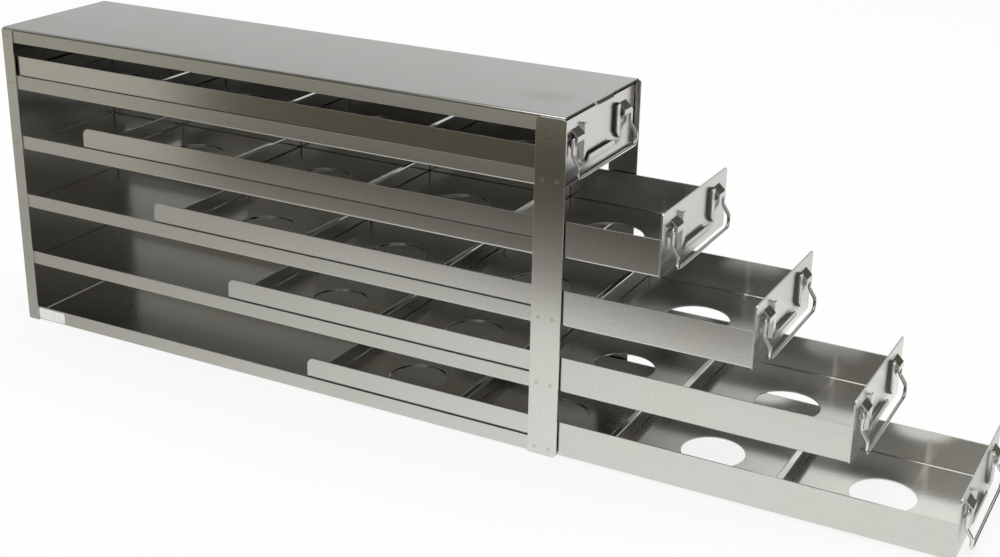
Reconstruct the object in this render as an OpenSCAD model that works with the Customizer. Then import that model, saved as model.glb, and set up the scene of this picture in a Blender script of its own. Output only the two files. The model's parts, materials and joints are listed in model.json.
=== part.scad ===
// Freezer drawer rack: a narrow sheet-metal rack with five sliding drawers.
// X runs across the rack, Y from front to back and Z up. The origin is the centre of
// the bottom shelf's underside, and the drawers slide out along -Y.
// Drawers and shelves are numbered from the top.

/* [Rack] */
// Width over the posts
rack_w = 140; // [130:1:180]
// Thickness of the rack's sheets
rack_sheet = 1.2; // [0.8:0.1:1.6]
// Height from one shelf to the next
level_pitch = 56.6; // [54:0.2:90]

/* [Shelves] */
// Height of a shelf's side rails
rail_h = 13.6; // [8:0.2:20]
// Outer radius of the folds between a shelf's floor and its rails
shelf_fold_r = 2.2; // [1.8:0.1:4]
// Distance from the posts' front edges back to the shelves' front edges
shelf_setback = 2; // [0:0.5:5]
// Slit between the shelves' rear edges and the back panel
rear_slit = 1.2; // [0.5:0.1:4]

/* [Top panel] */
// Height of the top panel's side flanges
top_flange_h = 12.6; // [8:0.2:20]
// Width of the front tab where it leaves the panel
top_tab_w = 35; // [20:1:60]
// Width of the front tab at its tip
top_tab_tip_w = 27; // [12:1:50]
// Length of the front tab along its slope
top_tab_len = 2.6; // [1.5:0.1:5]
// Slope of the front tab below the panel
top_tab_slope = 45; // [20:5:60]

/* [Back panel and posts] */
// Depth of the back panel's side flanges
back_flange = 13.2; // [8:0.2:25]
// Outer radius of the back panel's folds
back_fold_r = 2.2; // [1.8:0.1:4]
// Width of a front post
post_w = 25.6; // [15:0.2:40]
// Radius of a front post's upper corners
post_corner_r = 3.5; // [1:0.5:8]
// Width of the cut at a front post's lower front corner
post_cut_w = 2.2; // [0.5:0.1:5]
// Height of the cut at a front post's lower front corner
post_cut_h = 4.5; // [0.5:0.5:10]
// Distance from the top panel's surface down to the posts' top ends
post_drop = 1.4; // [1:0.1:4]

/* [Drawer trays] */
// Thickness of the trays' sheet
tray_sheet = 1; // [0.7:0.1:1.3]
// Clearance between a tray and the rail on each side
side_gap = 0.6; // [0.3:0.1:1.2]
// Clearance between a tray and the shelf under it
floor_gap = 0.2; // [0.1:0.05:0.3]
// Height of a tray's side walls
wall_h = 30; // [22:0.5:40]
// Radius of the walls' rear top corners
wall_corner_r = 7; // [3:0.5:12]
// Outer radius of the folds along a tray's floor
tray_fold_r = 1.8; // [1.5:0.1:3]
// Length of one storage place
bay_pitch = 139; // [132:0.5:142]
// Length of the walls behind the last storage place
wall_tail = 2.5; // [2:0.5:8]
// Height of a tray's rear lip
lip_h = 14; // [8:0.5:20]
// Diameter of the finger holes
finger_hole_d = 52; // [30:1:80]
// Clearance between a closed tray and the back panel
stop_gap = 0.3; // [0.2:0.1:2]
// Distance from the posts' front edges back to a closed drawer's front plate
front_recess = 5; // [3:0.5:10]

/* [Dividers] */
// Height of a divider
divider_h = 13.5; // [6:0.5:20]
// Width of a divider from front to back
divider_w = 6.5; // [4:0.5:12]
// How far the middle of a divider lies behind the end of its storage place
divider_shift = 2; // [0:0.5:4]
// Outer radius of a divider's folds
divider_fold_r = 1.4; // [1.3:0.1:2]
// Clearance between a divider's ends and the tray's walls
divider_end_gap = 1; // [1:0.1:3]
// Height of a divider's front skirt above the tray's floor
divider_lift = 0.6; // [0.1:0.1:1]

/* [Drawer fronts] */
// Thickness of the front plates
front_sheet = 1.2; // [0.8:0.1:1.5]
// Gap between a front plate and the shelf above it
front_top_gap = 5.1; // [2:0.1:10]
// Height of a front plate's lower edge above the tray's underside
front_raise = 0.3; // [0:0.1:1]
// Radius of a front plate's top corners
front_corner_r = 3; // [1:0.5:8]

/* [Handle ears] */
// Distance between the centres of a front's two ears
ear_spread = 88; // [84:1:92]
// Width of an ear
ear_w = 13; // [8:0.5:14]
// Height of an ear
ear_h = 13.5; // [13:0.5:16]
// How far an ear stands out from the plate
ear_out = 5.5; // [5.3:0.1:6]
// Height of the ears' centres above the plate's lower edge
ear_z = 33.4; // [28:0.2:36]

/* [Card holder] */
// Distance between the free edges of the two side tabs
card_gap_w = 56; // [40:1:60]
// Width of a side tab
card_tab_w = 6.5; // [5:0.5:8]
// Height of the side tabs' upper ends above the plate's lower edge
card_tab_top = 42; // [36:0.5:44]
// Height of the side tabs' lower ends at their free edges
card_tab_low = 19.4; // [17:0.2:26]
// Radius of the side tabs' upper free corners
card_tab_r = 2; // [0.5:0.5:4]
// Width of the bottom tab
card_foot_w = 50; // [30:1:54]
// Height of the bottom tab's upper edge above the plate's lower edge
card_foot_top = 14.6; // [12:0.2:16]
// Height of the bottom tab
card_foot_h = 6; // [4:0.5:8]
// Room for the card behind the tabs
card_room = 2; // [1:0.1:2.6]

/* [Bail handles] */
// Diameter of the bail's wire
wire_d = 3; // [2:0.1:3]
// Clearance between the wire and the inside of an ear
wire_play = 0.2; // [0.1:0.05:0.3]
// Side play of a bail beside each ear
bail_side_play = 2.4; // [2:0.1:5]
// How far a bail has slipped sideways in its play
bail_slip = 1.6; // [-1.6:0.1:1.6]
// Height from a bail's bar up to its hinge
bail_drop = 30; // [28:0.5:32]
// How far a bail's bar hangs in front of its hinge
bail_reach = 5.4; // [4:0.2:8]
// Radius of the bends beside the ears
hinge_bend_r = 2.5; // [2:0.1:2.6]
// Radius of the bail's lower corners
bail_corner_r = 5; // [3:0.5:6]

/* [Rest position] */
// How far the top drawer is pulled out
open_1 = 0; // [0:0.1:400]
// How far the second drawer is pulled out
open_2 = 84.1; // [0:0.1:400]
// How far the third drawer is pulled out
open_3 = 160.6; // [0:0.1:400]
// How far the fourth drawer is pulled out
open_4 = 239.2; // [0:0.1:400]
// How far the bottom drawer is pulled out
open_5 = 321.2; // [0:0.1:400]

/* [Hidden] */
$fn = 64;
LEVELS = 5;
BAYS = 4;
RACK_NODES = ["top_panel", "back_panel", "front_post_left", "front_post_right"];

// Colours of the sheets
RACK_GREY = [0.62, 0.61, 0.57];
FRONT_GREY = [0.76, 0.76, 0.74];
TRAY_GREY = [0.55, 0.54, 0.5];
BRIGHT = [0.84, 0.84, 0.83];

// Overrun of a cut past the face it opens
over = 1;

// Length of a tray, from the front plate's face to the walls' rear ends
tray_len = BAYS * bay_pitch + wall_tail;

// Rack, worked out from the driving sizes. A closed drawer takes up its whole depth
rack_d = front_recess + tray_len + stop_gap + rack_sheet;
rack_h = LEVELS * level_pitch;
channel_w = rack_w - 2 * rack_sheet;
top_under = rack_h - rack_sheet;
post_h = rack_h - post_drop;
front_y = -rack_d / 2;
back_y = rack_d / 2;
shelf_len = rack_d - shelf_setback - rear_slit - rack_sheet;

// Trays, in a drawer's own frame: the front plate's face is y = 0, the tray's underside z = 0
tray_w = channel_w - 2 * rack_sheet - 2 * side_gap;
inner_w = tray_w - 2 * tray_sheet;
lip_y = BAYS * bay_pitch;
tray_z = rack_sheet + floor_gap;
closed_y = front_y + front_recess;
opens = [open_1, open_2, open_3, open_4, open_5];

// Fronts
front_h = level_pitch - tray_z - front_raise - front_top_gap;
front_out = ear_out - front_sheet;
ear_slope = 45;
ear_run = ear_out / tan(ear_slope);
hinge_z = front_raise + ear_z;
hinge_out = front_out - wire_play - wire_d / 2;

// Card holder: the run of the tabs' joggle and the chamfer of the bottom tab's corners
joggle_run = 1.6;
foot_chamfer = 3.5;

// Bails: the heights of a leg's two knees as shares of the drop. Between them the leg leans
// out, and the wire is a hair thicker at a knee
upper_knee_share = 0.4;
lower_knee_share = 0.675;
upper_knee = upper_knee_share * bail_drop;
lower_knee = lower_knee_share * bail_drop;
leg_lean = atan(bail_reach / (lower_knee - upper_knee));
slant = norm([bail_reach, lower_knee - upper_knee]);
lower_leg = bail_drop - lower_knee;
knee_share = 1.01;
bail_end_x = (ear_spread - ear_w) / 2;
leg_x = (ear_spread + ear_w) / 2 + bail_side_play + wire_d / 2;

// Height of a level's shelf, counted from the top
function level_z(n) = (LEVELS - n) * level_pitch;

// Points of an arc about a centre
function arc(centre, r, from, to, steps = 6) =
    [for (i = [0:steps]) centre + r * [cos(from + (to - from) * i / steps), sin(from + (to - from) * i / steps)]];

function unit(v) = v / norm(v);

// Outline of a sheet of thickness t that lies on the left of a path
function left_of(v) = [-v[1], v[0]];
function heading(path, i) = unit(path[i + 1] - path[i]);
function side_step(a, b) = (left_of(a) + left_of(b)) / (1 + a * b);
function edge_step(path, i) =
    i == 0 ? left_of(heading(path, 0)) :
    i == len(path) - 1 ? left_of(heading(path, i - 1)) :
    side_step(heading(path, i - 1), heading(path, i));
function ribbon(path, t) =
    concat(path, [for (i = [len(path) - 1:-1:0]) path[i] + t * edge_step(path, i)]);

// Stands a flat XY outline up so that its y becomes z and its thickness runs along +Y
module upright(depth) {
    translate([0, depth, 0])
        rotate([90, 0, 0])
            linear_extrude(depth)
                children();
}

// Turns an outline drawn in Y and Z into a solid centred across X
module across(width) {
    rotate([90, 0, 90])
        translate([0, 0, -width / 2])
            linear_extrude(width)
                children();
}

// A rectangle centred across X whose two lower corners are round
module round_bottom(w, h, r) {
    translate([-w / 2 + r, 0])
        square([w - 2 * r, h]);
    translate([-w / 2, r])
        square([w, h - r]);
    for (side = [-1, 1])
        translate([side * (w / 2 - r), r])
            circle(r);
}

// Section of a sheet folded up along both sides
module channel_section(w, h, t, r) {
    difference() {
        round_bottom(w, h, r);
        translate([0, t])
            round_bottom(w - 2 * t, h, r - t);
    }
}

// A quarter turn of wire about the origin, from +X round to +Z
module wire_turn(r) {
    rotate([90, 0, 0])
        rotate_extrude(angle = 90)
            translate([r, 0])
                circle(d = wire_d);
}

module both_sides() {
    for (side = [0, 1])
        mirror([side, 0, 0])
            children();
}

module shelf(n) {
    color(RACK_GREY)
        translate([0, front_y + shelf_setback, level_z(n)])
            upright(shelf_len)
                channel_section(channel_w, rail_h, rack_sheet, shelf_fold_r);
}

// The tab in the middle of the top panel's front edge slopes down over the top drawer's front
module top_tab() {
    inside = top_tab_len;
    tip = top_tab_len * [-cos(top_tab_slope), -sin(top_tab_slope)];
    intersection() {
        across(top_tab_w)
            polygon(ribbon([tip, [0, 0], [inside, 0]], rack_sheet));
        translate([0, 0, -rack_h / 2])
            linear_extrude(rack_h)
                polygon([
                    [-top_tab_tip_w / 2, tip[0] - rack_sheet],
                    [top_tab_tip_w / 2, tip[0] - rack_sheet],
                    [top_tab_w / 2, 0],
                    [top_tab_w / 2, inside],
                    [-top_tab_w / 2, inside],
                    [-top_tab_w / 2, 0]
                ]);
    }
}

module top_panel() {
    color(RACK_GREY) {
        // The flanges stop at the back panel, and the flat of the panel covers it
        translate([0, front_y + shelf_setback, rack_h])
            mirror([0, 0, 1])
                upright(shelf_len)
                    channel_section(channel_w, top_flange_h, rack_sheet, shelf_fold_r);
        translate([-channel_w / 2 + shelf_fold_r, front_y + shelf_setback, top_under])
            cube([channel_w - 2 * shelf_fold_r, rack_d - shelf_setback, rack_sheet]);
        translate([0, front_y + shelf_setback, top_under])
            top_tab();
    }
}

module back_panel() {
    color(RACK_GREY)
        translate([0, back_y, 0])
            mirror([0, 1, 0])
                linear_extrude(top_under)
                    channel_section(rack_w, back_flange, rack_sheet, back_fold_r);
}

// Side view of a front post, from its front edge at 0 back
module post_outline() {
    r = post_corner_r;
    shoulder = post_h - r;
    polygon([[post_cut_w, 0], [post_w, 0], [post_w, shoulder], [0, shoulder], [0, post_cut_h]]);
    translate([r, post_cut_h])
        square([post_w - 2 * r, post_h - post_cut_h]);
    for (y = [r, post_w - r])
        translate([y, shoulder])
            circle(r);
}

module front_post(side) {
    color(RACK_GREY)
        translate([side * channel_w / 2 + (side < 0 ? -rack_sheet : 0), front_y, 0])
            rotate([90, 0, 90])
                linear_extrude(rack_sheet)
                    post_outline();
}

// Places a drawer's pieces: its own frame starts at the front plate's face
module in_drawer(n) {
    translate([0, closed_y - opens[n - 1], level_z(n) + tray_z])
        children();
}

// Side view of a wall, with its rear top corner round
module wall_outline() {
    r = wall_corner_r;
    translate([front_sheet, 0])
        square([tray_len - front_sheet - r, wall_h]);
    translate([front_sheet, 0])
        square([tray_len - front_sheet, wall_h - r]);
    translate([tray_len - r, wall_h - r])
        circle(r);
}

// The rear lip and the quarter ring that folds it up from the floor
module tray_lip() {
    inside_r = tray_fold_r - tray_sheet;
    translate([0, lip_y, tray_fold_r])
        across(inner_w - 2 * inside_r) {
            translate([-tray_fold_r, 0])
                intersection() {
                    difference() {
                        circle(tray_fold_r);
                        circle(inside_r);
                    }
                    translate([0, -tray_fold_r])
                        square(tray_fold_r);
                }
            translate([-tray_sheet, 0])
                square([tray_sheet, lip_h - tray_fold_r]);
        }
}

module tray_body() {
    difference() {
        intersection() {
            upright(tray_len)
                channel_section(tray_w, wall_h, tray_sheet, tray_fold_r);
            across(tray_w)
                wall_outline();
        }
        // The floor ends where the lip's fold starts, and the walls run on behind it
        translate([-tray_w / 2 - over, lip_y - tray_fold_r, -over])
            cube([tray_w + 2 * over, tray_fold_r + wall_tail + over, tray_fold_r + over]);
        for (bay = [0:BAYS - 1])
            translate([0, (bay + 1 / 2) * bay_pitch, -over])
                cylinder(h = tray_sheet + 2 * over, d = finger_hole_d);
    }
}

module drawer_tray(n) {
    color(TRAY_GREY)
        in_drawer(n) {
            tray_body();
            tray_lip();
        }
}

module drawer_divider(n, k) {
    length = inner_w - 2 * divider_end_gap;
    color(TRAY_GREY)
        in_drawer(n)
            translate([0, k * bay_pitch + divider_shift, tray_sheet + divider_h])
                mirror([0, 0, 1])
                    difference() {
                        across(length)
                            channel_section(divider_w, divider_h, tray_sheet, divider_fold_r);
                        translate([-length / 2 - over, -divider_w / 2 - over, divider_h - divider_lift])
                            cube([length + 2 * over, divider_w / 2 + over, divider_lift + over]);
                    }
}

// Outline of the right side tab, seen from the front: the root is on the right
module card_tab_outline() {
    free = card_gap_w / 2;
    root = free + card_tab_w;
    corner = [free + card_tab_r, card_tab_top - card_tab_r];
    polygon(concat(
        [[root, card_tab_low - card_tab_w], [root, card_tab_top]],
        arc(corner, card_tab_r, 90, 180),
        [[free, card_tab_low]]
    ));
}

module card_foot_outline() {
    low = card_foot_top - card_foot_h;
    half = card_foot_w / 2;
    polygon([
        [-half, low],
        [half, low],
        [half, card_foot_top - foot_chamfer],
        [half - foot_chamfer, card_foot_top],
        [foot_chamfer - half, card_foot_top],
        [-half, card_foot_top - foot_chamfer]
    ]);
}

// Path of a joggled tab from the plate's rear face to the tab's rear face
function joggle(reach) =
    [[-front_sheet, -front_sheet], [0, -front_sheet], [joggle_run, card_room], [reach, card_room]];

module card_tab() {
    free = card_gap_w / 2;
    root = free + card_tab_w;
    intersection() {
        linear_extrude(card_tab_top)
            polygon([for (p = ribbon(joggle(card_tab_w), front_sheet)) [root - p[0], -p[1]]]);
        translate([0, -front_out, 0])
            upright(2 * front_out)
                union() {
                    card_tab_outline();
                    translate([root, card_tab_low - card_tab_w])
                        square([front_sheet, card_tab_top - card_tab_low + card_tab_w]);
                }
    }
}

module card_foot() {
    low = card_foot_top - card_foot_h;
    intersection() {
        across(card_foot_w)
            polygon([for (p = ribbon(joggle(card_foot_h), front_sheet)) [-p[1], low + p[0]]]);
        translate([0, -front_out, 0])
            upright(2 * front_out)
                union() {
                    card_foot_outline();
                    translate([-card_foot_w / 2, low - front_sheet])
                        square([card_foot_w, front_sheet]);
                }
    }
}

// An ear is a strip of the plate pushed out into a bridge
module ear() {
    half = ear_h / 2;
    inner = front_out;
    fold = front_sheet * tan(ear_slope / 2);
    across(ear_w)
        polygon([
            for (p = ribbon([
                [half + front_sheet, -front_sheet],
                [half + fold, -front_sheet],
                [half - ear_run + fold, inner],
                [ear_run - half - fold, inner],
                [-half - fold, -front_sheet],
                [-half - front_sheet, -front_sheet]
            ], -front_sheet)) [-p[1], ear_z + p[0]]
        ]);
}

module front_plate() {
    upright(front_sheet)
        difference() {
            translate([0, front_h])
                mirror([0, 1])
                    round_bottom(tray_w, front_h, front_corner_r);
            for (side = [-1, 1]) {
                translate([side * ear_spread / 2 - ear_w / 2, ear_z - ear_h / 2])
                    square([ear_w, ear_h]);
                scale([side, 1])
                    card_tab_outline();
            }
            card_foot_outline();
        }
}

module drawer_front(n) {
    color(FRONT_GREY)
        in_drawer(n)
            translate([0, 0, front_raise]) {
                front_plate();
                card_foot();
                both_sides() {
                    card_tab();
                    translate([ear_spread / 2, 0, 0])
                        ear();
                }
            }
}

// The bail's two ends in their ears and its legs down to the upper knees
module bail_top() {
    both_sides() {
        translate([bail_end_x, 0, 0])
            rotate([0, 90, 0])
                cylinder(h = leg_x - hinge_bend_r - bail_end_x, d = wire_d);
        translate([leg_x - hinge_bend_r, 0, -hinge_bend_r])
            wire_turn(hinge_bend_r);
        translate([leg_x, 0, -upper_knee])
            cylinder(h = upper_knee - hinge_bend_r, d = wire_d);
    }
}

// The upper knees at the origin's height and the legs' slanted runs below them
module bail_slant() {
    both_sides()
        translate([leg_x, 0, 0]) {
            sphere(d = wire_d * knee_share);
            translate([0, 0, -slant])
                cylinder(h = slant, d = wire_d);
        }
}

// The lower knees at the origin's height, the legs below them and the bar between those
module bail_bottom() {
    bar_end = leg_x - bail_corner_r;
    both_sides() {
        translate([leg_x, 0, 0])
            sphere(d = wire_d * knee_share);
        translate([leg_x, 0, bail_corner_r - lower_leg])
            cylinder(h = lower_leg - bail_corner_r, d = wire_d);
        translate([bar_end, 0, bail_corner_r - lower_leg])
            mirror([0, 0, 1])
                wire_turn(bail_corner_r);
    }
    translate([-bar_end, 0, -lower_leg])
        rotate([0, 90, 0])
            cylinder(h = 2 * bar_end, d = wire_d);
}

// A bail hangs from its ears: each leg drops, leans out and drops again to the bar
module drawer_bail(n) {
    color(BRIGHT)
        in_drawer(n)
            translate([bail_slip, -hinge_out, hinge_z]) {
                bail_top();
                translate([0, 0, -upper_knee])
                    rotate([-leg_lean, 0, 0]) {
                        bail_slant();
                        translate([0, 0, -slant])
                            rotate([leg_lean, 0, 0])
                                bail_bottom();
                    }
            }
}

top_panel();
back_panel();
front_post(-1);  // front_post_left
front_post(1);  // front_post_right
for (n = [1:LEVELS]) {
    shelf(n);
    drawer_tray(n);
    drawer_front(n);
    drawer_bail(n);
    for (k = [1:BAYS - 1])
        drawer_divider(n, k);
}
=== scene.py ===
"""Looks of the freezer drawer rack: rolled stainless sheet, bent wire bails, weld marks and a
blank label, on a white table. Lengths are in metres, in the rack's own frame: X across, Y from
front to back, Z up, with the origin under the middle of the bottom shelf."""

import json
import math

import bmesh
import bpy
from mathutils import Matrix, Quaternion, Vector


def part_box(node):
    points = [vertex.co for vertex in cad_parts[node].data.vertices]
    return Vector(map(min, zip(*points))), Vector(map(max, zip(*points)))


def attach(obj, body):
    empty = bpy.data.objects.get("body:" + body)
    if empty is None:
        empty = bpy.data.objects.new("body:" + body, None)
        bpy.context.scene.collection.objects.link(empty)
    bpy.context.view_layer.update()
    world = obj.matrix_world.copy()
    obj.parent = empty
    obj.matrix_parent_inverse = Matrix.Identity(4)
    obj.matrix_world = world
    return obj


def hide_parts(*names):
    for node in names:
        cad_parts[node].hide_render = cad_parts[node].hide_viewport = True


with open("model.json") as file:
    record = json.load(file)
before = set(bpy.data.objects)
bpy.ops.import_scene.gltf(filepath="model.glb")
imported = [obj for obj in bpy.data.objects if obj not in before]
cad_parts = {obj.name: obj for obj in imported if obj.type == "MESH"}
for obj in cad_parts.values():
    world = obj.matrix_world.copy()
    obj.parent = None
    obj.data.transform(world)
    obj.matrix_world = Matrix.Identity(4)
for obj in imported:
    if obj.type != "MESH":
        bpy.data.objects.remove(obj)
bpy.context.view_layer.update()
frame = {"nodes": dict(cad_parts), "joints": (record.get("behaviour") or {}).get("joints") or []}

MM = 0.001
LEVELS = 5
LEVEL_PITCH = 56.6 * MM
FRONT_SHEET = 1.2 * MM

# Places of the rack's pieces, from the frame
shelf_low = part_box("shelf_5")[0]
post_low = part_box("front_post_left")[0]
back_low, back_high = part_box("back_panel")
top_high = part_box("top_panel")[1]

ALONG_X = Vector((1, 0, 0))
ALONG_Y = Vector((0, 1, 0))
ALONG_Z = Vector((0, 0, 1))
RIGHT = ALONG_X
LEFT = -ALONG_X
FRONT = -ALONG_Y
DOWN = -ALONG_Z


# Sums of shader values


class Flow:
    """One output of a shader node, which can be used in sums."""

    def __init__(self, graph, socket):
        self.graph = graph
        self.socket = socket

    def math(self, operation, *values):
        return self.graph.node("ShaderNodeMath", {"operation": operation}, dict(enumerate(values)))

    def __add__(self, other):
        return self.math("ADD", self, other)

    __radd__ = __add__

    def __sub__(self, other):
        return self.math("SUBTRACT", self, other)

    def __rsub__(self, other):
        return self.math("SUBTRACT", other, self)

    def __mul__(self, other):
        return self.math("MULTIPLY", self, other)

    def smooth(self, low, high):
        """0 below low, 1 above high, and an even curve between them."""
        settings = {"interpolation_type": "SMOOTHSTEP"}
        return self.graph.node("ShaderNodeMapRange", settings, {0: self, 1: low, 2: high})


class Graph:
    """The nodes of one material or of the world."""

    def __init__(self, owner):
        owner.use_nodes = True
        self.tree = owner.node_tree
        self.tree.nodes.clear()

    def node(self, kind, settings=None, sockets=None, output=0):
        """Adds a node: its settings first, then the values or links of its sockets."""
        made = self.tree.nodes.new(kind)
        for name, value in (settings or {}).items():
            setattr(made, name, value)
        for key, value in (sockets or {}).items():
            if isinstance(value, Flow):
                self.tree.links.new(value.socket, made.inputs[key])
            else:
                made.inputs[key].default_value = value
        return Flow(self, made.outputs[output]) if made.outputs else None

    def vector(self, operation, first, second=None, scale=None, output=0):
        sockets = {0: first}
        if second is not None:
            sockets[1] = second
        if scale is not None:
            sockets["Scale"] = scale
        return self.node("ShaderNodeVectorMath", {"operation": operation}, sockets, output)

    def dot(self, first, second):
        return self.vector("DOT_PRODUCT", first, second, output="Value")

    def parts(self, vector):
        """The X, Y and Z of a vector."""
        split = self.node("ShaderNodeSeparateXYZ", None, {0: vector}).socket.node
        return [Flow(self, output) for output in split.outputs]

    def mix(self, factor, first, second):
        """A colour between first and second."""
        return self.node("ShaderNodeMix", {"data_type": "RGBA"}, {0: factor, 6: first, 7: second}, 2)

    def noise(self, place, scale, detail=2.0, roughness=0.5):
        sockets = {"Vector": place, "Scale": scale, "Detail": detail, "Roughness": roughness}
        return self.node("ShaderNodeTexNoise", None, sockets)

    def place(self):
        """The point on the piece, in the rack's frame at rest."""
        return self.node("ShaderNodeTexCoord", None, None, "Object")

    def ray_is(self, kind):
        """1 for rays of one kind, Camera or Glossy, and 0 for the others."""
        return self.node("ShaderNodeLightPath", None, None, f"Is {kind} Ray")


def window(value, low, high, soft):
    """1 from low to high and 0 beyond them, with a soft step at both."""
    return value.smooth(low - soft, low + soft) * (1 - value.smooth(high - soft, high + soft))


def rgb(red, green, blue):
    return (red, green, blue, 1.0)


def tinted(colour, tint):
    """A colour with its red, green and blue scaled by a tint's."""
    return rgb(*[part * share for part, share in zip(colour, tint)])


# Finishes

# Sheet steel: features of its noises per metre, how far they tilt the surface and how much they shade it
GRAIN_ALONG = 45
GRAIN_ACROSS = 2200
SPECKLE_SCALE = 640
PIT_SCALE = 1500
CLOUD_SCALE = 11
SMEAR_SCALES = (26, 26, 60)
GRAIN_TILT = 0.02
SPECKLE_TILT = 0.03
GRAIN_SHADE = 0.08
SPECKLE_SHADE = 0.16
PIT_SHADE = 0.16
CLOUD_SHADE = 0.05

# Tints of its warmer clouds and of what it mirrors at a grazing angle
WARM_TINT = (0.985, 0.975, 0.95)
GRAZING_TINT = rgb(0.86, 0.86, 0.86)

# Cut edges: how round they look, the lighter colour painted on them as a highlight, their roughness, and
# how much painted shade darkens the faces that look one way
EDGE_RADIUS = 0.4 * MM
EDGE_HIGHLIGHT_COLOUR = rgb(0.86, 0.86, 0.85)
EDGE_ROUGHNESS = 0.25
PAINTED_EDGE_SHADE = 0.9

# Creases of the trays: their width, their tilt, and their distance behind a tray's front
CREASE = 2.5 * MM
CREASE_TILT = -0.11
CREASE_IN = 52 * MM

# The stain on the top panel
STAIN_MIDDLE = Vector((-20 * MM, -241 * MM, top_high.z))
STAIN_REACH = Vector((20 * MM, 26 * MM, 10 * MM))
STAIN_SHADE = 0.1
STAIN_TINT = (0.97, 0.97, 0.93)

# Lean of the upper side faces, in radians, and how much painted shade darkens the colour of the faces that
# look down
LEAN = 0.05
SHELF_UNDERSIDE_SHADE = 0.25
TOP_UNDERSIDE_SHADE = 0.7

RACK_COLOUR = rgb(0.62, 0.618, 0.606)
POST_COLOUR = rgb(0.68, 0.677, 0.662)
TRAY_COLOUR = rgb(0.62, 0.618, 0.607)
FRONT_COLOUR = rgb(0.635, 0.635, 0.63)
DIVIDER_COLOUR = rgb(0.67, 0.67, 0.66)
MARK_COLOUR = rgb(0.58, 0.565, 0.52)
WIRE_COLOUR = rgb(0.76, 0.757, 0.75)


def sheet_steel(
    name, colour, grain, roughness, stained=False, painted_shade_facing=None, lean=0.0, crease=None, underside_shade=0.0, edge_highlight=0.8
):
    """Rolled stainless sheet with a faint grain along one axis and a fine speckle. stained adds the
    cloudy patch of the top panel. painted_shade_facing is the direction of the faces whose colour is
    darkened with painted shade; it keeps the top panel's front edge dark. lean tilts the upper side faces,
    as bends a little short of square do. crease is the place along Y of a shallow crease on the right.
    dull says how much painted shade darkens the colour of the faces that look down, and worn how
    much the cut edges are lightened as a painted highlight. When worn is 0 there are no rounded
    edges either."""
    material = bpy.data.materials.new(name)
    graph = Graph(material)
    place = graph.place()
    x, y, z = graph.parts(place)
    stretch = [GRAIN_ALONG if axis else GRAIN_ACROSS for axis in grain]
    lines = graph.noise(graph.vector("MULTIPLY", place, stretch), 1.0, 2.0, 0.6)
    speckle = graph.noise(place, SPECKLE_SCALE, 2.0, 0.6)
    pits = graph.noise(place, PIT_SCALE, 1.0)
    clouds = graph.noise(place, CLOUD_SCALE, 3.0, 0.55)
    smears = graph.noise(graph.vector("MULTIPLY", place, SMEAR_SCALES), 1.0, 4.0, 0.6)
    rounded = graph.node("ShaderNodeBevel", {"samples": 6}, {"Radius": EDGE_RADIUS if edge_highlight else 0.0})
    facing = graph.node("ShaderNodeNewGeometry", None, None, "True Normal")
    edge = (1 - graph.dot(rounded, facing)).smooth(0.01, 0.12)

    across = graph.vector("CROSS_PRODUCT", rounded, grain)
    brushed = graph.vector("SCALE", across, scale=(lines - 0.5) * GRAIN_TILT)
    rippled = graph.vector("SCALE", grain, scale=(speckle - 0.5) * SPECKLE_TILT)
    tilted = graph.vector("ADD", graph.vector("ADD", rounded, brushed), rippled)
    if crease is not None:
        dent = window(y, crease - CREASE, crease, CREASE) * x.smooth(0.01, 0.06)
        tilted = graph.vector("ADD", tilted, graph.vector("SCALE", ALONG_Y, scale=dent * CREASE_TILT))
    if lean:
        leaning = graph.dot(facing, ALONG_X) * x * z.smooth(0.14, 0.2) * (lean / back_high.x)
        tilted = graph.vector("ADD", tilted, graph.vector("SCALE", ALONG_Z, scale=leaning))

    shade = 1 + (lines - 0.5) * GRAIN_SHADE + (speckle - 0.5) * SPECKLE_SHADE
    shade = shade + (pits - 0.5) * PIT_SHADE + (clouds - 0.5) * CLOUD_SHADE
    paint = graph.mix(clouds.smooth(0.35, 0.7), colour, tinted(colour, WARM_TINT))
    # Painted shade: the colour of the faces that look down is darkened, as much as dull says
    if underside_shade:
        shade = shade * (1 - graph.dot(facing, DOWN).smooth(0.5, 0.9) * underside_shade)
    if stained:
        offset = graph.vector("DIVIDE", graph.vector("SUBTRACT", place, STAIN_MIDDLE), STAIN_REACH)
        spread = graph.vector("LENGTH", offset, output="Value") + (clouds - 0.5) * 0.9
        smudge = 1 - spread.smooth(0.2, 1.15)
        shade = shade * (1 - smudge * STAIN_SHADE)
        paint = graph.mix(smudge, paint, tinted(colour, STAIN_TINT))
    # Painted highlight: the cut edges are mixed towards a lighter colour, as much as worn says
    paint = graph.mix(edge * edge_highlight, paint, EDGE_HIGHLIGHT_COLOUR)
    # Painted shade: the colour of the faces that look towards painted_shade_facing is darkened
    if painted_shade_facing is not None:
        shade = shade * (1 - graph.dot(facing, painted_shade_facing).smooth(0.9, 0.99) * PAINTED_EDGE_SHADE)

    rough = roughness + (clouds - 0.5) * 0.02 + (speckle - 0.5) * 0.04
    rough = rough + smears.smooth(0.5, 0.75) * 0.012 + edge * EDGE_ROUGHNESS
    surface = graph.node("ShaderNodeBsdfPrincipled", None, {
        "Base Color": graph.vector("SCALE", paint, scale=shade),
        "Metallic": 1.0,
        "Roughness": rough,
        "Specular Tint": GRAZING_TINT,
        "Normal": graph.vector("NORMALIZE", tilted),
    })
    graph.node("ShaderNodeOutputMaterial", None, {"Surface": surface})
    return material


# Wire: features per metre of its drawn lines, along and across, and of its patches
STREAK_SCALES = (90, 2400, 2400)
PATCH_SCALE = 260
PATCH_TINT = (0.94, 0.94, 0.94)


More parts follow.
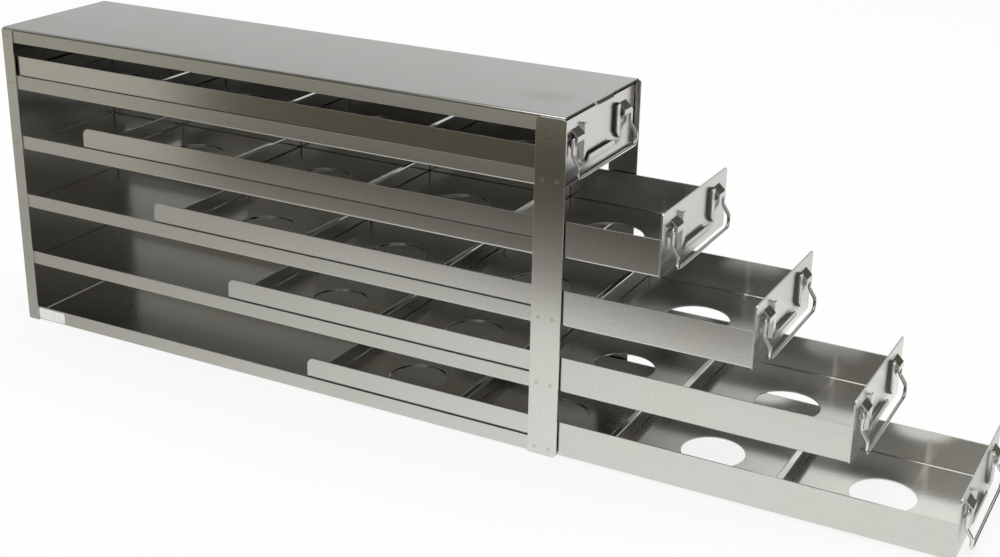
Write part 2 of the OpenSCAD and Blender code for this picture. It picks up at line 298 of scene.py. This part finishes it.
def wire_steel(name, colour, roughness):
    """Bright drawn wire with faint lines and small scratches."""
    material = bpy.data.materials.new(name)
    graph = Graph(material)
    place = graph.place()
    streaks = graph.noise(graph.vector("MULTIPLY", place, STREAK_SCALES), 1.0, 2.0)
    patches = graph.noise(place, PATCH_SCALE, 3.0, 0.6)
    shade = 1 + (streaks - 0.5) * 0.12 + (patches - 0.5) * 0.14
    tint = graph.mix(patches, colour, tinted(colour, PATCH_TINT))
    height = streaks * 0.6 + patches * 0.4
    bump = graph.node("ShaderNodeBump", None, {"Strength": 0.25, "Distance": 0.03 * MM, "Height": height})
    surface = graph.node("ShaderNodeBsdfPrincipled", None, {
        "Base Color": graph.vector("SCALE", tint, scale=shade),
        "Metallic": 1.0,
        "Roughness": roughness + (patches - 0.5) * 0.1,
        "Normal": bump,
    })
    graph.node("ShaderNodeOutputMaterial", None, {"Surface": surface})
    return material


# Paper: features per metre of its fibres and its grime
FIBRE_SCALE = 1500
GRIME_SCALE = 120
CLEAN_PAPER = rgb(0.92, 0.92, 0.92)
GRIMY_PAPER = rgb(0.8, 0.8, 0.78)


def label_paper(name):
    """White coated paper of a blank sticker, a little grimy."""
    material = bpy.data.materials.new(name)
    graph = Graph(material)
    place = graph.place()
    fibres = graph.noise(place, FIBRE_SCALE, 3.0, 0.6)
    grime = graph.noise(place, GRIME_SCALE, 3.0, 0.6).smooth(0.5, 0.8)
    bump = graph.node("ShaderNodeBump", None, {"Strength": 0.2, "Distance": 0.02 * MM, "Height": fibres})
    surface = graph.node("ShaderNodeBsdfPrincipled", None, {
        "Base Color": graph.mix(grime, CLEAN_PAPER, GRIMY_PAPER),
        "Roughness": 0.55 + fibres * 0.1,
        "Normal": bump,
    })
    graph.node("ShaderNodeOutputMaterial", None, {"Surface": surface})
    return material


def tray_steel(level):
    """The steel of one tray, with its crease a little behind the front plate."""
    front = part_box(f"drawer_{level}_tray")[0].y
    return sheet_steel(
        f"tray_steel_{level}", TRAY_COLOUR, ALONG_Y, roughness=0.19, crease=front + CREASE_IN
    )


shelf_steel = sheet_steel("shelf_steel", RACK_COLOUR, ALONG_Y, roughness=0.25, lean=LEAN, underside_shade=SHELF_UNDERSIDE_SHADE)
top_steel = sheet_steel(
    "top_steel", RACK_COLOUR, ALONG_Y, roughness=0.2, stained=True, painted_shade_facing=FRONT, lean=LEAN, underside_shade=TOP_UNDERSIDE_SHADE
)
post_steel = sheet_steel("post_steel", POST_COLOUR, ALONG_Z, roughness=0.2)
back_steel = sheet_steel("back_steel", RACK_COLOUR, ALONG_Z, roughness=0.22)
tray_steels = {f"drawer_{level}_tray": tray_steel(level) for level in range(1, LEVELS + 1)}
divider_steel = sheet_steel("divider_steel", DIVIDER_COLOUR, ALONG_X, roughness=0.08)
front_steel = sheet_steel("front_steel", FRONT_COLOUR, ALONG_X, roughness=0.25)
bail_steel = wire_steel("bail_steel", WIRE_COLOUR, roughness=0.1)
mark_steel = sheet_steel("mark_steel", MARK_COLOUR, ALONG_Z, roughness=0.25, edge_highlight=0.0)
white_paper = label_paper("white_paper")

# The first name here that is part of a node's name gives its finish
NAMED_FINISHES = {
    **tray_steels,
    "top_panel": top_steel,
    "back_panel": back_steel,
    "front_post": post_steel,
    "shelf": shelf_steel,
    "divider": divider_steel,
    "front": front_steel,
    "bail": bail_steel,
}

for node, piece in frame["nodes"].items():
    piece.data.materials.clear()
    piece.data.materials.append(next(NAMED_FINISHES[name] for name in NAMED_FINISHES if name in node))


# Meshes


def piece_from(name, add_mesh, material, body):
    """Makes a piece, smooth apart from its flat caps, gives it its finish and lets it ride on a body."""
    mesh = bpy.data.meshes.new(name)
    maker = bmesh.new()
    add_mesh(maker)
    bmesh.ops.recalc_face_normals(maker, faces=maker.faces)
    for face in maker.faces:
        face.smooth = len(face.verts) == 4
    maker.to_mesh(mesh)
    maker.free()
    piece = bpy.data.objects.new(name, mesh)
    bpy.context.scene.collection.objects.link(piece)
    mesh.materials.append(material)
    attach(piece, body)
    return piece


def rounded_path(corners, radii, steps=10):
    """A path through corners, with an arc of the given radius at each inner corner."""
    path = [corners[0]]
    for before, corner, after, radius in zip(corners, corners[1:], corners[2:], radii):
        inward, outward = (before - corner).normalized(), (after - corner).normalized()
        half = inward.angle(outward) / 2
        centre = corner + (inward + outward).normalized() * (radius / math.sin(half))
        first = corner + inward * (radius / math.tan(half)) - centre
        last = corner + outward * (radius / math.tan(half)) - centre
        turn = first.rotation_difference(last)
        for step in range(steps + 1):
            path.append(centre + Quaternion().slerp(turn, step / steps) @ first)
    path.append(corners[-1])
    return path


def add_ring(maker, centre, beside, other, reach, sides=20):
    """A ring of points round a centre, in the plane of two directions."""
    turns = [2 * math.pi * side / sides for side in range(sides)]
    return [
        maker.verts.new(centre + (beside * math.cos(turn) + other * math.sin(turn)) * reach)
        for turn in turns
    ]


def join_rings(maker, rings):
    """A closed skin over rings that have equally many points."""
    for ring, following in zip(rings, rings[1:]):
        for side in range(len(ring)):
            after = (side + 1) % len(ring)
            maker.faces.new((ring[side], ring[after], following[after], following[side]))
    maker.faces.new(rings[0][::-1])
    maker.faces.new(rings[-1])


def add_wire(maker, path, radius):
    """A round wire along a path, with softened ends."""
    ahead = (path[1] - path[0]).normalized()
    beside = ahead.orthogonal().normalized()
    soft = radius * 0.35
    stations = [(path[0], ahead, radius - soft), (path[0] + ahead * soft, ahead, radius)]
    for before, here, after in zip(path, path[1:], path[2:]):
        stations.append((here, (after - before).normalized(), radius))
    ahead = (path[-1] - path[-2]).normalized()
    stations += [(path[-1] - ahead * soft, ahead, radius), (path[-1], ahead, radius - soft)]
    rings = []
    for centre, direction, reach in stations:
        beside = (beside - direction * beside.dot(direction)).normalized()
        rings.append(add_ring(maker, centre, beside, direction.cross(beside), reach))
    join_rings(maker, rings)


# Spot-weld marks: their size, and the rings' reach and height as shares of it
MARK_RADIUS = 1.6 * MM
MARK_RIM = 0.01 * MM
MARK_PROFILE_SHARES = ((1.0, 0.0), (0.86, 0.8), (0.7, 1.0), (0.5, 0.45), (0.25, 0.2))


def add_marks(maker, places, outward):
    """Round marks with a low rim round a sunk middle, on a face that looks outward."""
    beside = outward.orthogonal().normalized()
    other = outward.cross(beside)
    for place in places:
        rings = []
        for reach, height in MARK_PROFILE_SHARES:
            centre = place + outward * (MARK_RIM * height)
            rings.append(add_ring(maker, centre, beside, other, MARK_RADIUS * reach))
        join_rings(maker, rings)


# Bails

WIRE_RADIUS = 1.5 * MM
BAIL_END = 37.5 * MM
BAIL_TOP_BEND = 2.5 * MM
BAIL_KNEE_BEND = 6 * MM
BAIL_CORNER_BEND = 5 * MM
UPPER_KNEE_SHARE = 0.4
LOWER_KNEE_SHARE = 0.675

hinges = {joint["child"]: Vector(joint["pos_m"]) for joint in frame["joints"] if joint["type"] == "hinge"}


def add_bail(maker, hinge, low, high):
    """Both ends in their ears, legs that drop, lean out and drop again, and the bar between them,
    inside the bail's box."""
    left, right = low.x + WIRE_RADIUS, high.x - WIRE_RADIUS
    middle, half = (left + right) / 2, (right - left) / 2
    bar_y, bar_z = low.y + WIRE_RADIUS, low.z + WIRE_RADIUS
    upper_knee = hinge.z + (bar_z - hinge.z) * UPPER_KNEE_SHARE
    lower_knee = hinge.z + (bar_z - hinge.z) * LOWER_KNEE_SHARE
    side = [
        Vector((BAIL_END, hinge.y, hinge.z)),
        Vector((half, hinge.y, hinge.z)),
        Vector((half, hinge.y, upper_knee)),
        Vector((half, bar_y, lower_knee)),
        Vector((half, bar_y, bar_z)),
    ]
    mirrored = [Vector((-point.x, point.y, point.z)) for point in reversed(side)]
    radii = [BAIL_TOP_BEND, BAIL_KNEE_BEND, BAIL_KNEE_BEND, BAIL_CORNER_BEND]
    path = rounded_path(side + mirrored, radii + radii[::-1])
    add_wire(maker, [point + Vector((middle, 0, 0)) for point in path], WIRE_RADIUS)


for level in range(1, LEVELS + 1):
    node = f"drawer_{level}_bail"
    body = f"bail_{level}"
    low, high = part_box(node)
    bail = piece_from(
        f"bail_wire_{level}",
        lambda maker: add_bail(maker, hinges[body], low, high),
        bail_steel,
        body,
    )
    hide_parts(node)


# Spot welds, in pairs where a post or flange is joined to each shelf, and at the rear to the top panel

FRONT_WELD_IN = 7 * MM
FRONT_WELD_GAP = 12.3 * MM
REAR_WELD_IN = 3.5 * MM
REAR_WELD_GAP = 4.8 * MM
SHELF_WELD_UP = 6.3 * MM
TOP_WELD_DOWN = 6.5 * MM
PLATE_WELD_IN = 4 * MM
PLATE_WELD_UP = 9 * MM

front_rows = (post_low.y + FRONT_WELD_IN, post_low.y + FRONT_WELD_IN + FRONT_WELD_GAP)
rear_rows = (back_high.y - REAR_WELD_IN, back_high.y - REAR_WELD_IN - REAR_WELD_GAP)
front_heights = [level * LEVEL_PITCH + SHELF_WELD_UP for level in range(LEVELS)]
rear_heights = front_heights + [top_high.z - TOP_WELD_DOWN]


def add_side_marks(end, x, rows, heights, outward):
    """The marks of one post or flange."""
    places = [Vector((x, y, z)) for y in rows for z in heights]
    piece_from(
        f"{end}_weld_marks", lambda maker: add_marks(maker, places, outward), mark_steel, "rack"
    )


for side, outward, x in (("left", LEFT, back_low.x), ("right", RIGHT, back_high.x)):
    add_side_marks(f"front_{side}", x, front_rows, front_heights, outward)
    add_side_marks(f"rear_{side}", x, rear_rows, rear_heights, outward)

for level in range(1, LEVELS + 1):
    plate_low, plate_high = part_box(f"drawer_{level}_front")
    plate_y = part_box(f"drawer_{level}_tray")[0].y - FRONT_SHEET
    places = [
        Vector((x, plate_y, plate_low.z + PLATE_WELD_UP))
        for x in (plate_low.x + PLATE_WELD_IN, plate_high.x - PLATE_WELD_IN)
    ]
    piece_from(
        f"plate_weld_marks_{level}",
        lambda maker: add_marks(maker, places, FRONT),
        mark_steel,
        f"drawer_{level}",
    )


# Blank label on the bottom shelf's left rail

LABEL_LONG = 32 * MM
LABEL_HIGH = 10.6 * MM
LABEL_THICK = 0.15 * MM
LABEL_CORNER = 1.8 * MM
LABEL_CORNER_STEPS = 6
LABEL_FACE_SHARE = 0.997
LABEL_UP = 1.6 * MM
LABEL_GAP = 0.1 * MM
BACK_FLANGE = 13.2 * MM


def add_label(maker):
    """A thin rounded rectangle that lies on the rail and starts at the back panel's flange."""
    rear = back_high.y - BACK_FLANGE - LABEL_GAP
    middle = Vector((shelf_low.x, rear - LABEL_LONG / 2, LABEL_UP + LABEL_HIGH / 2))
    reach_y, reach_z = LABEL_LONG / 2 - LABEL_CORNER, LABEL_HIGH / 2 - LABEL_CORNER
    outline = []
    for quarter, (along, up) in enumerate(((1, 1), (-1, 1), (-1, -1), (1, -1))):
        for step in range(LABEL_CORNER_STEPS + 1):
            turn = math.radians(90 * (quarter + step / LABEL_CORNER_STEPS))
            outline.append(Vector((
                0,
                along * reach_y + LABEL_CORNER * math.cos(turn),
                up * reach_z + LABEL_CORNER * math.sin(turn),
            )))
    inner = [maker.verts.new(middle + point) for point in outline]
    outer = [maker.verts.new(middle + point * LABEL_FACE_SHARE + LEFT * LABEL_THICK) for point in outline]
    join_rings(maker, [inner, outer])


piece_from("blank_label", add_label, white_paper, "rack")


# Table, studio and camera

FLOOR_WHITENESS = 0.84
FLOOR_REACH = 9.0
FLOOR_BELOW = 0.4 * MM
WHITE = rgb(1.0, 1.0, 1.0)
SOFT_WHITE = rgb(0.85, 0.85, 0.84)

# The table and the room beyond it, as the rack's metal sees them
TABLE_NEAR = rgb(1.0, 1.0, 0.96)
TABLE_DEEP = rgb(0.48, 0.47, 0.42)
ROOM_NEAR = rgb(0.35, 0.34, 0.3)
ROOM_FRONT = rgb(0.055, 0.042, 0.022)
ROOM_REAR = rgb(0.52, 0.505, 0.44)
ROOM_FAR = rgb(0.6, 0.58, 0.5)
ROOM_LEFT = rgb(0.36, 0.35, 0.3)
ROOM_CORNER = rgb(0.4, 0.39, 0.33)


def white_table():
    """The floor: white to the camera, with a faint shadow. Metal sees a table that is white near the
    camera and dimmer to the rear, brighter in a strip to the right of the rack and nearly black where
    the rack shades it there. The table ends at a slanting edge past the rack's left side. Beyond it
    metal sees a room: grey at the very front, dark up to a slanting line, and grey again behind it
    and far to the left."""
    material = bpy.data.materials.new("white_table")
    graph = Graph(material)
    x, y, _ = graph.parts(graph.place())
    past_edge = x + (y + 0.13) * 0.22
    on_table = past_edge.smooth(-0.66, -0.36) * 0.35 + past_edge.smooth(-0.42, -0.3) * 0.65
    # Painted shadow of the rack, and a painted brighter strip beside it, in the glow that metal sees
    shaded = x.smooth(0.03, 0.12) * (y - x * 0.7).smooth(-0.47, -0.37)
    shaded = shaded * (1 - x.smooth(0.7, 0.95)) * (1 - (y - x * 0.53).smooth(0.28, 0.4))
    bright = window(x, 0.08, 0.32, 0.05) * y.smooth(-0.62, -0.5)
    table = graph.mix(y.smooth(-0.4, 0.43), TABLE_NEAR, TABLE_DEEP)
    table = graph.vector("SCALE", table, scale=(1 + bright * 0.5) * (1 - shaded * 0.95))
    behind_line = (y + x * 0.877 + 0.0085).smooth(-0.015, 0.015)
    far_left = 1 - x.smooth(-1.12, -0.94)
    front = graph.mix(y.smooth(-0.5, -0.25), ROOM_NEAR, ROOM_FRONT)
    rear = graph.mix(y.smooth(0.35, 0.6), ROOM_REAR, ROOM_FAR)
    left = graph.mix(y.smooth(1.1, 1.3), ROOM_LEFT, ROOM_CORNER)
    room = graph.mix(far_left, graph.mix(behind_line, front, rear), left)
    mirrored = graph.mix(on_table, room, table)
    glow = graph.node("ShaderNodeEmission", None, {"Color": mirrored, "Strength": 1.0})
    white = graph.node("ShaderNodeEmission", None, {"Color": WHITE, "Strength": 1.0})
    matt = graph.node("ShaderNodeBsdfDiffuse", None, {"Color": SOFT_WHITE})
    whiteness = graph.ray_is("Camera") * FLOOR_WHITENESS
    plain = graph.node("ShaderNodeMixShader", None, {0: whiteness, 1: matt, 2: white})
    surface = graph.node("ShaderNodeMixShader", None, {0: graph.ray_is("Glossy"), 1: plain, 2: glow})
    graph.node("ShaderNodeOutputMaterial", None, {"Surface": surface})
    return material


def table_top():
    """A flat sheet, a hair below the rack."""
    mesh = bpy.data.meshes.new("table_top")
    maker = bmesh.new()
    corners = ((-1, -1), (1, -1), (1, 1), (-1, 1))
    maker.faces.new([
        maker.verts.new((x * FLOOR_REACH, y * FLOOR_REACH, -FLOOR_BELOW))
        for x, y in corners
    ])
    maker.to_mesh(mesh)
    maker.free()
    mesh.materials.append(white_table())
    return bpy.data.objects.new("table_top", mesh)


floor = table_top()
bpy.context.scene.collection.objects.link(floor)

# The studio, as the rack's metal sees it
DIM_ROOM = rgb(0.09, 0.084, 0.067)
BACKDROP = rgb(0.84, 0.855, 0.845)
RIGHT_LAMP = rgb(1.4, 1.41, 1.35)
LEFT_LAMP = rgb(1.17, 1.15, 1.06)
REAR_CARD = rgb(0.52, 0.51, 0.45)
REAR_RIM = rgb(0.5, 0.49, 0.43)
CEILING = rgb(0.5, 0.5, 0.48)
CAMERA_SIDE = rgb(0.55, 0.55, 0.54)
BEHIND = rgb(0.6, 0.6, 0.58)
DEGREES = 180 / math.pi


def studio_world():
    """White to the camera, and soft white to matt surfaces. Metal sees a dim studio: a pale backdrop
    low at the rear right, a lamp to the right, another on the left, a card high at the rear right, a
    pale rim low at the rear left, a soft ceiling, and soft lights behind the rack and on the camera's
    side. Angles are in degrees: turn goes from +X towards +Y, left_turn from -X towards +Y, and height
    up from the horizon."""
    world = bpy.data.worlds.new("studio")
    bpy.context.scene.world = world
    graph = Graph(world)
    x, y, z = graph.parts(graph.node("ShaderNodeTexCoord", None, None, "Generated"))
    turn = y.math("ARCTAN2", y, x) * DEGREES
    left_turn = y.math("ARCTAN2", y, 0 - x) * DEGREES
    height = z.math("ARCSINE", z) * DEGREES
    light = DIM_ROOM
    for colour, share in (
        (BACKDROP, window(turn, 16, 80, 5) * (1 - (height + turn * 0.22).smooth(23.9, 25.9))),
        (RIGHT_LAMP, window(turn, -8, 19, 7) * window(height, 24, 43, 8)),
        (REAR_CARD, window(turn, 38, 60, 6) * window(height, 28, 42, 5)),
        (LEFT_LAMP, window(left_turn, -24, 20, 7) * window(height - left_turn * 0.5, 24, 45, 5)),
        (REAR_RIM, window(turn, 110, 175, 8) * (1 - height.smooth(2, 6))),
        (CEILING, height.smooth(55, 75)),
        (CAMERA_SIDE, window(turn, -155, -85, 15) * window(height, 5, 60, 10)),
        (BEHIND, window(turn, 68, 108, 8) * window(height, 10, 50, 8)),
    ):
        light = graph.mix(share, light, colour)
    light = graph.mix(graph.ray_is("Glossy"), SOFT_WHITE, light)
    light = graph.mix(graph.ray_is("Camera"), light, WHITE)
    surface = graph.node("ShaderNodeBackground", None, {"Color": light, "Strength": 1.0})
    graph.node("ShaderNodeOutputWorld", None, {"Surface": surface})


studio_world()

# A large soft lamp over the rack
SOFTBOX_PLACE = Vector((0.0, -0.1, 2.2))
SOFTBOX_SIZE = 1.6
SOFTBOX_POWER = 20

softbox_data = bpy.data.lights.new("softbox", "AREA")
softbox_data.shape = "SQUARE"
softbox_data.size = SOFTBOX_SIZE
softbox_data.energy = SOFTBOX_POWER
softbox = bpy.data.objects.new("softbox", softbox_data)
bpy.context.scene.collection.objects.link(softbox)
softbox.location = SOFTBOX_PLACE

# The photograph's view: the camera's place, direction and roll, found from the rack's corners
CAMERA_PLACE = Vector((-1.06544, -0.75242, 0.59924))
CAMERA_AHEAD = Vector((0.82635, 0.43670, -0.35558))
CAMERA_UP = Vector((0.30606, 0.18175, 0.93450))
CAMERA_LENS = 55.617
SENSOR_WIDTH = 36.0
SHIFT_X = 0.00256
SHIFT_Y = -0.03153

camera_data = bpy.data.cameras.new("camera")
camera_data.lens = CAMERA_LENS
camera_data.sensor_width = SENSOR_WIDTH
camera_data.sensor_fit = "HORIZONTAL"
camera_data.shift_x = SHIFT_X
camera_data.shift_y = SHIFT_Y
camera = bpy.data.objects.new("camera", camera_data)
bpy.context.scene.collection.objects.link(camera)
turned = Matrix((CAMERA_AHEAD.cross(CAMERA_UP), CAMERA_UP, -CAMERA_AHEAD)).transposed()
camera.matrix_world = Matrix.Translation(CAMERA_PLACE) @ turned.to_4x4()
bpy.context.scene.camera = camera
bpy.context.scene.view_settings.view_transform = "Standard"
